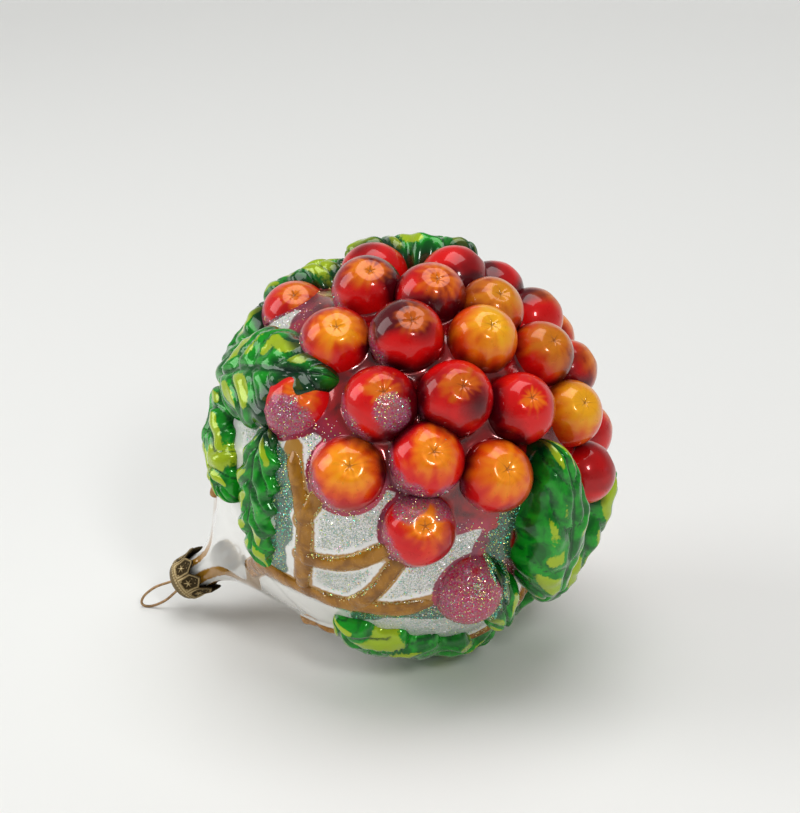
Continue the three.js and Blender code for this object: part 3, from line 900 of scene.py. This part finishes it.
# the wire: a round section carried along a loop that lies in the plane of the first and third axes
def makeWire():
    left = [(-x, 0, z) for x, z in wireHalf]
    right = [(x, 0, z) for x, z in reversed(wireHalf)]
    path = smoothPath(left + [(0, 0, 96.52)] + right, wireShape["rows"])
    along = unit(np.gradient(path, axis=0))
    across = np.broadcast_to([0.0, 1.0, 0.0], along.shape)
    out = np.cross(along, across)
    around = np.linspace(0, 2 * np.pi, wireShape["columns"], endpoint=False)
    share = np.linspace(0, 1, wireShape["rows"])
    taper = np.sqrt(np.clip(np.minimum(share, 1 - share) * 200, 0.05, 1)) * wireShape["radius"]
    rings = carriedSection(path, across, out, taper, taper, around)
    makePiece("hanging_loop", [(rings, {})], makeWirePaint(), "hanger_wire")


def makeWirePaint():
    material, tree, surface = startMaterial("bronzeWire", {"Metallic": 1.0})
    brushed = useGroup(tree, brushedLacquer, Scale=900.0, Low=0.3, High=0.7)
    colour = blendColours(tree, brushed["Mask"], (0.42, 0.27, 0.14, 1), (0.27, 0.16, 0.08, 1))
    feed(tree, surface, {"Base Color": colour,
                         "Roughness": plus(tree, times(tree, brushed["Fine"], 0.2), 0.22)})
    return material


studio = {
    "paper": (0.84, 0.84, 0.82, 1), "cloth": (0.16, 0.16, 0.16, 1), "flag": 0.5, "flat": 0.9, "rim": 2.4,
    "wallHeight": 1.6,
}


def standInStudio(name, points, faces, material):
    mesh = bpy.data.meshes.new(name)
    mesh.from_pydata(points, [], faces)
    mesh.shade_smooth()
    mesh.materials.append(material)
    prop = bpy.data.objects.new(name, mesh)
    bpy.context.scene.collection.objects.link(prop)
    return prop


# the sweep: a round sheet, flat in the middle and rising smoothly all round
def makeSweep():
    turn = np.linspace(0, 2 * np.pi, 96, endpoint=False)
    rising = np.linspace(studio["flat"], studio["rim"], 40)[1:]
    r = np.concatenate([np.linspace(0.02, studio["flat"], 12), rising])
    height = studio["wallHeight"] * smoothStep(r, studio["flat"], studio["rim"] + 0.6)
    points = np.stack([r[:, None] * np.cos(turn), r[:, None] * np.sin(turn),
                       np.repeat(height[:, None], 96, 1)], -1)
    quads, tris = skinFaces(*points.shape[:2])
    points = np.vstack([points.reshape(-1, 3), [[0, 0, 0]]])
    paper = startMaterial("paperSweep", {"Roughness": 0.85, "Base Color": studio["paper"]})[0]
    standInStudio("sweep", points, quads.tolist() + tris[:96].tolist(), paper)


def addLight(name, size, sizeY, power, place, aim):
    light = bpy.data.lights.new(name, "AREA")
    light.shape = "RECTANGLE"
    light.size, light.size_y, light.energy = size, sizeY, power
    lamp = bpy.data.objects.new(name, light)
    lamp.location = place
    lamp.rotation_euler = (Vector(aim) - Vector(place)).to_track_quat("-Z", "Y").to_euler()
    bpy.context.scene.collection.objects.link(lamp)


def makeLights():
    aim = (0, 0, 0.05)
    addLight("leftSoftbox", 0.5, 0.6, 3.3, (-0.8, -0.15, 0.5), aim)
    addLight("rightWindow", 0.12, 0.18, 2.1, (0.42, -0.62, 0.62), aim)
    addLight("overhead", 0.8, 0.8, 6.6, (0.05, 0.1, 1.1), aim)
    addLight("backdropWash", 1.6, 0.5, 7.5, (0, 0.7, 1.3), (0, 2.0, 0.7))
    world = bpy.data.worlds.new("studioAir")
    world.use_nodes = True
    air = world.node_tree.nodes["Background"].inputs
    air["Color"].default_value = (0.95, 0.96, 0.96, 1)
    air["Strength"].default_value = 0.26
    bpy.context.scene.world = world


# a dark card on the camera's side, seen only in reflections, gives the gloss its dark middle
def makeFlag():
    half = studio["flag"] / 2
    tall = half * 0.8
    corners = [(-half, 0, -tall), (half, 0, -tall), (half, 0, tall), (-half, 0, tall)]
    turn = np.radians(view["azimuth"])
    spin = np.array([[np.cos(turn), np.sin(turn), 0], [-np.sin(turn), np.cos(turn), 0], [0, 0, 1]])
    away = np.array([np.sin(turn), -np.cos(turn), 0]) * 0.7 + np.array([0, 0, 0.32])
    cloth = startMaterial("darkCloth", {"Base Color": studio["cloth"], "Roughness": 0.9})[0]
    flag = standInStudio("darkFlag", np.array(corners) @ spin + away, [(0, 1, 2, 3)], cloth)
    for key in ("visible_camera", "visible_diffuse", "visible_shadow", "visible_transmission"):
        setattr(flag, key, False)


view = {"azimuth": 12, "elevation": 22, "distance": 0.56, "right": -0.0037, "up": 0.0115, "lens": 92.2}


def makeCamera():
    azimuth, elevation = np.radians(view["azimuth"]), np.radians(view["elevation"])
    level = np.cos(elevation)
    back = Vector((np.sin(azimuth) * level, -np.cos(azimuth) * level, np.sin(elevation)))
    right = Vector((np.cos(azimuth), np.sin(azimuth), 0))
    up = back.cross(right)
    aim = Vector(lay["centre"]) / 1000 + right * view["right"] + up * view["up"]
    camera = bpy.data.objects.new("camera", bpy.data.cameras.new("camera"))
    camera.data.lens = view["lens"]
    camera.data.sensor_width = 36
    camera.data.clip_start = 0.01
    camera.location = aim + back * view["distance"]
    camera.rotation_euler = (-back).to_track_quat("-Z", "Y").to_euler()
    bpy.context.scene.collection.objects.link(camera)
    bpy.context.scene.camera = camera


makeCamera()
makeLights()
makeSweep()
makeFlag()
print("stage: studio ready")
shellParts = makeShell()
berryParts = makeBerries()
leafParts = makeLeaves()
stemParts = makeStems()
makeFlakes([
    (berryParts, "glitter", 7500, (2, 5, 3, 2, 3, 1)), (leafParts, "glitter", 2000, (1, 1, 0, 5, 4, 0)),
    (stemParts, "sparkle", 2500, (1, 5, 0, 1, 2, 0)), (shellParts, "sparkle", 4500, (5, 2, 1, 2, 2, 0)),
    (shellParts, "teal", 4000, (0.5, 1, 0, 7, 4, 0)), (shellParts, "rim", 3000, (2, 5, 3, 1, 2, 1)),
])
makeCap()
makeWire()
bpy.context.scene.view_settings.view_transform = "Standard"
print("stage: pieces made")
